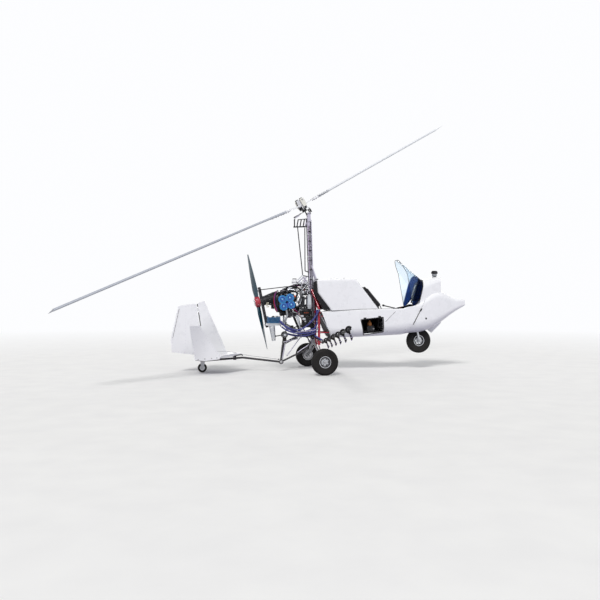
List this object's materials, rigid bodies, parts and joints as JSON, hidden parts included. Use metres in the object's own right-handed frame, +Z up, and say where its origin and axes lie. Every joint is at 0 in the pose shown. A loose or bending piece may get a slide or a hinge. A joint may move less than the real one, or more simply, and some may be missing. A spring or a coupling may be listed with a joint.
{
  "type": "crop spraying gyrocopter",
  "caption": "Open single-seat pusher gyrocopter with a teetering rotor on a gimbal head, a spray tank, side booms, an open engine, a plate tail and wheeled gear.",
  "frame": {"origin": "centre of the jacking socket under the mast foot, over the main axle, 0.395 m above the ground", "axes": "+X to the nose along the ground, +Y to port, +Z up, against the way out of the socket's bore; the row stands on the ground plane z = -0.395 m on its main wheels and tail wheel"},
  "size_m": [6.6993, 7.3034, 4.6841],
  "materials": {
    "gelcoat": "gloss",
    "crimson_paint": "gloss",
    "alloy": "satin",
    "blade_alloy": "satin",
    "steel": "satin",
    "dark_metal": "satin",
    "cream_paint": "satin",
    "azure_paint": "gloss",
    "casting": "rough",
    "radiator_paint": "satin",
    "pipe_metal": "satin",
    "black_plastic": "matte",
    "keel_paint": "satin",
    "hose": "satin",
    "tyre": "matte",
    "seat_cover": "satin",
    "screen": "clear",
    "propeller": "satin",
    "kit": "satin"
  },
  "bodies": {
    "airframe": {"mast": "alloy", "oil_tank": "alloy", "head_links": "alloy", "exhaust": "alloy", "gear_legs": "steel", "engine_mount": "steel", "tail_fork": "steel", "steering_head": "steel", "boom_stays": "steel", "pod": "gelcoat", "nose": "gelcoat", "cowl": "gelcoat", "hopper": "gelcoat", "hopper_cap": "gelcoat", "fin": "gelcoat", "stabiliser": "gelcoat", "end_plates": "gelcoat", "header_tank": "gelcoat", "firewall": "black_plastic", "panel": "black_plastic", "seat_pan": "black_plastic", "nozzles": "black_plastic", "battery": "black_plastic", "windscreen": "screen", "seat": "seat_cover", "controls": "dark_metal", "head_controls": "dark_metal", "drive_plate": "dark_metal", "carburettors": "dark_metal", "spray_pump": "dark_metal", "booms": "dark_metal", "lamp": "dark_metal", "hatch_kit": "kit", "keel": "keel_paint", "red_frame": "crimson_paint", "crankcase": "casting", "cylinders": "casting", "head_covers": "azure_paint", "intake": "pipe_metal", "radiator": "radiator_paint", "hoses": "hose"},
    "wheel_left": {"tyre_left": "tyre", "rim_left": "alloy"},
    "wheel_right": {"tyre_right": "tyre", "rim_right": "alloy"},
    "nose_steer": {"nose_fork": "steel"},
    "nose_wheel": {"nose_tyre": "tyre", "nose_rim": "alloy"},
    "tail_wheel": {"tail_tyre": "tyre", "tail_rim": "alloy"},
    "propeller": {"prop_hub": "crimson_paint", "prop_blades": "propeller"},
    "rudder": {"rudder": "gelcoat"},
    "head_pitch": {"gimbal_block": "dark_metal"},
    "head_roll": {"head_plate": "dark_metal"},
    "rotor_hub": {"hub_tower": "cream_paint"},
    "rotor": {"hub_bar": "blade_alloy", "blade_aft": "blade_alloy", "blade_forward": "blade_alloy"}
  },
  "joints": [
    {"name": "wheel_left_spin", "type": "hinge", "parent": "airframe", "child": "wheel_left", "pos_m": [0, 0.78, -0.193], "axis": [0, 1, 0], "continuous": true},
    {"name": "wheel_right_spin", "type": "hinge", "parent": "airframe", "child": "wheel_right", "pos_m": [0, -0.78, -0.193], "axis": [0, 1, 0], "continuous": true},
    {"name": "nose_steering", "type": "hinge", "parent": "airframe", "child": "nose_steer", "pos_m": [1.73, 0, 0.077], "axis": [-0.225, 0, 0.9744], "range_deg": [-25, 25]},
    {"name": "nose_wheel_spin", "type": "hinge", "parent": "nose_steer", "child": "nose_wheel", "pos_m": [1.73, 0, 0.077], "axis": [0, 1, 0], "continuous": true},
    {"name": "tail_wheel_spin", "type": "hinge", "parent": "airframe", "child": "tail_wheel", "pos_m": [-1.81, 0, -0.323], "axis": [0, 1, 0], "continuous": true},
    {"name": "propeller_spin", "type": "hinge", "parent": "airframe", "child": "propeller", "pos_m": [-0.94, 0, 0.713], "axis": [0.9792, 0, 0.2028], "continuous": true},
    {"name": "rudder_hinge", "type": "hinge", "parent": "airframe", "child": "rudder", "pos_m": [-1.775, 0, -0.11], "axis": [-0.1497, 0, 0.9887], "range_deg": [-25, 25]},
    {"name": "head_pitch", "type": "hinge", "parent": "airframe", "child": "head_pitch", "pos_m": [-0.114, 0, 2.133], "axis": [0, 1, 0], "range_deg": [0, 20]},
    {"name": "head_roll", "type": "hinge", "parent": "head_pitch", "child": "head_roll", "pos_m": [-0.114, 0, 2.133], "axis": [0.866, 0, 0.5], "range_deg": [-11, 7]},
    {"name": "rotor_spin", "type": "hinge", "parent": "head_roll", "child": "rotor_hub", "pos_m": [-0.2659, -0.0088, 2.3361], "axis": [-0.4997, -0.0349, 0.8655], "continuous": true},
    {"name": "rotor_teeter", "type": "hinge", "parent": "rotor_hub", "child": "rotor", "pos_m": [-0.2659, -0.0088, 2.3361], "axis": [0.4903, -0.8351, 0.2494], "range_deg": [-6, 6]}
  ]
}
